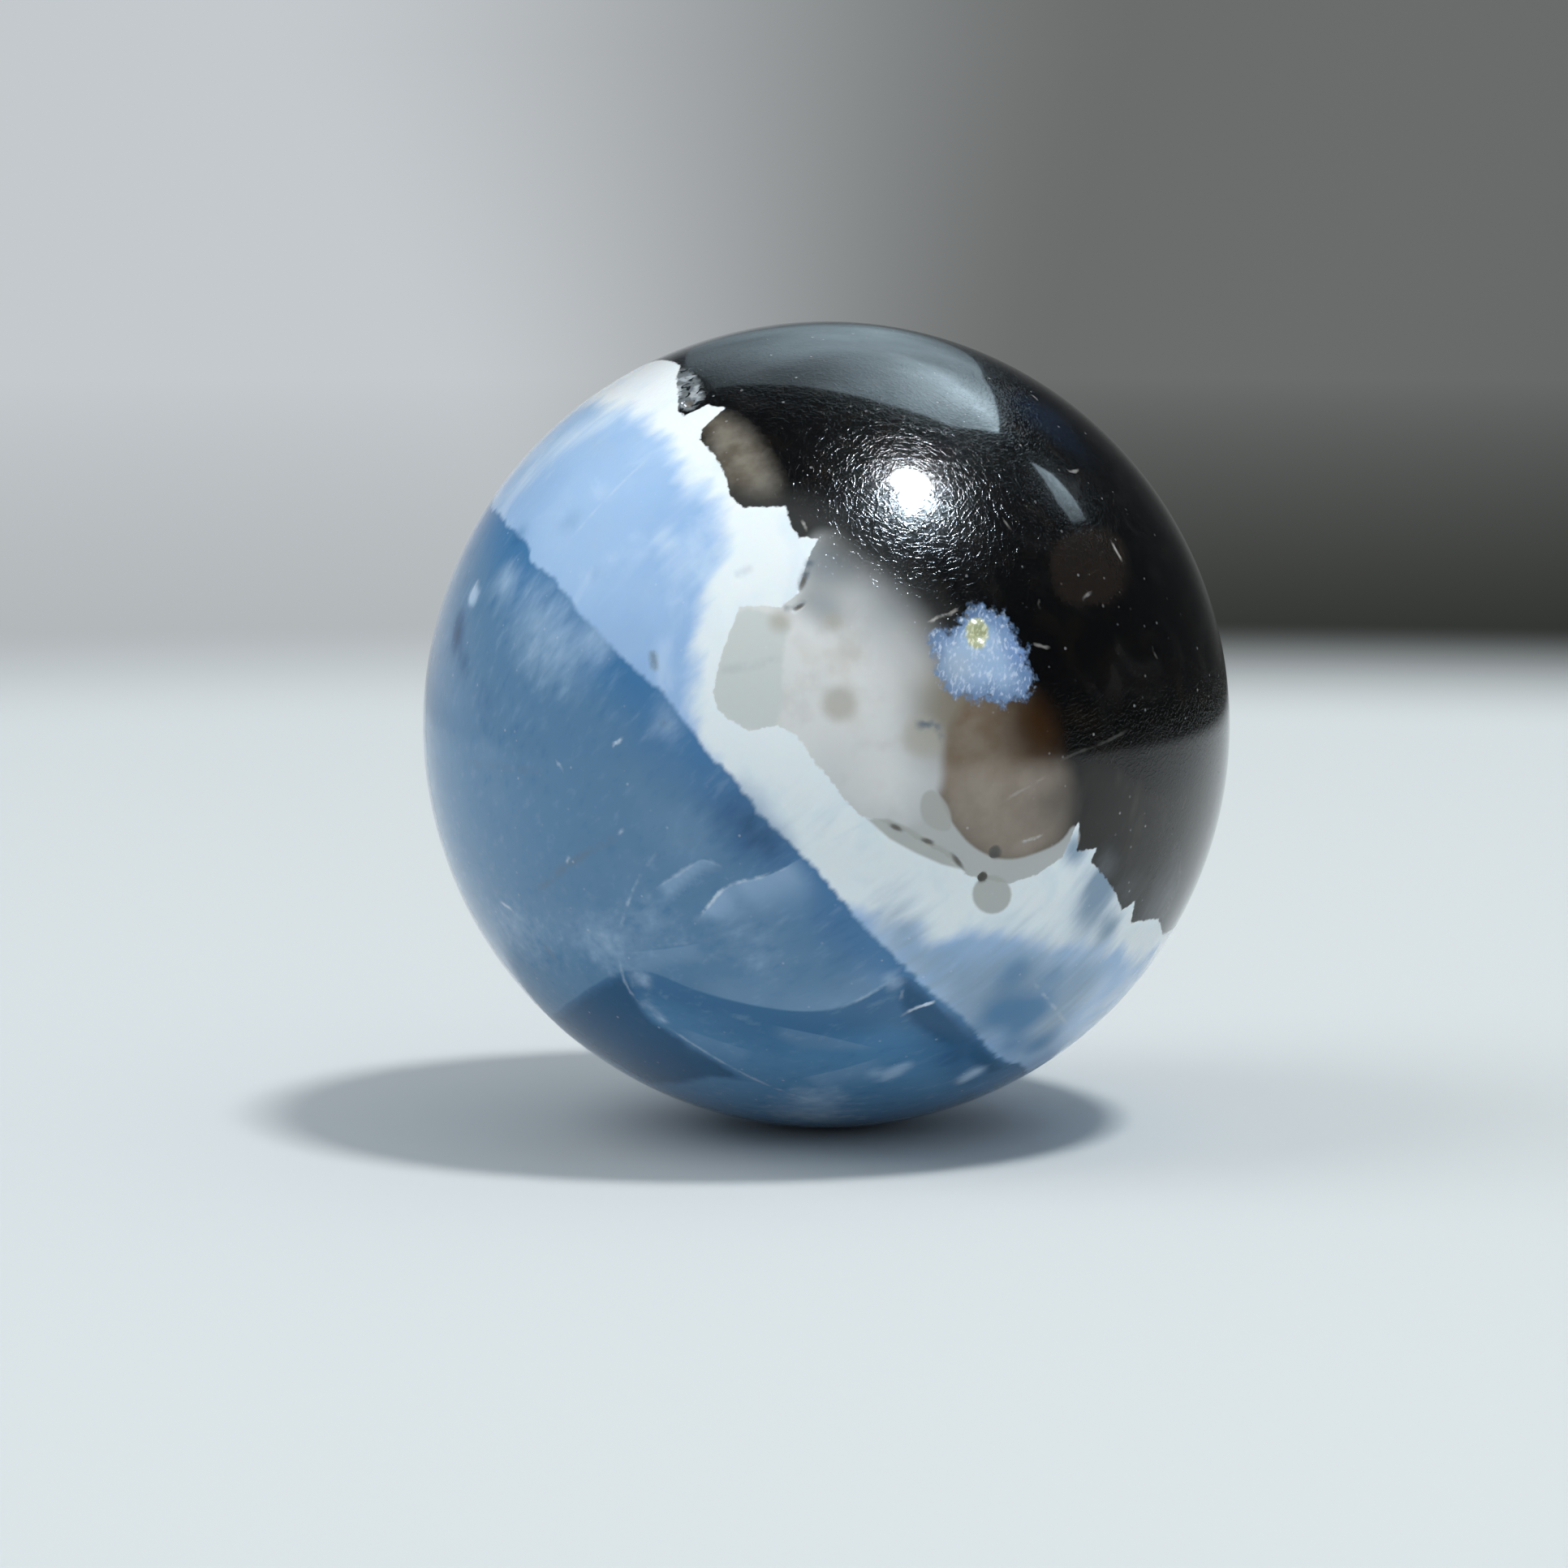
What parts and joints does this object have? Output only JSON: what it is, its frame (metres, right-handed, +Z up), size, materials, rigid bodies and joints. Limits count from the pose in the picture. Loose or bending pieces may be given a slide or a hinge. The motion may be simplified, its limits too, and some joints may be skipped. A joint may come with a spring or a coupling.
{
  "type": "opal sphere",
  "caption": "Polished ball of layered blue opal, pale opal and dark chalcedony, shown on a ring or a dished stand.",
  "frame": {"origin": "centre of the ball", "axes": "+Z up as the ball is shown, -Y towards the side with the pale windows, +X to that side's right"},
  "size_m": [0.03, 0.03, 0.03],
  "materials": {
    "layered_opal": "polished"
  },
  "bodies": {
    "root": {"opal_sphere": "layered_opal"}
  },
  "joints": []
}
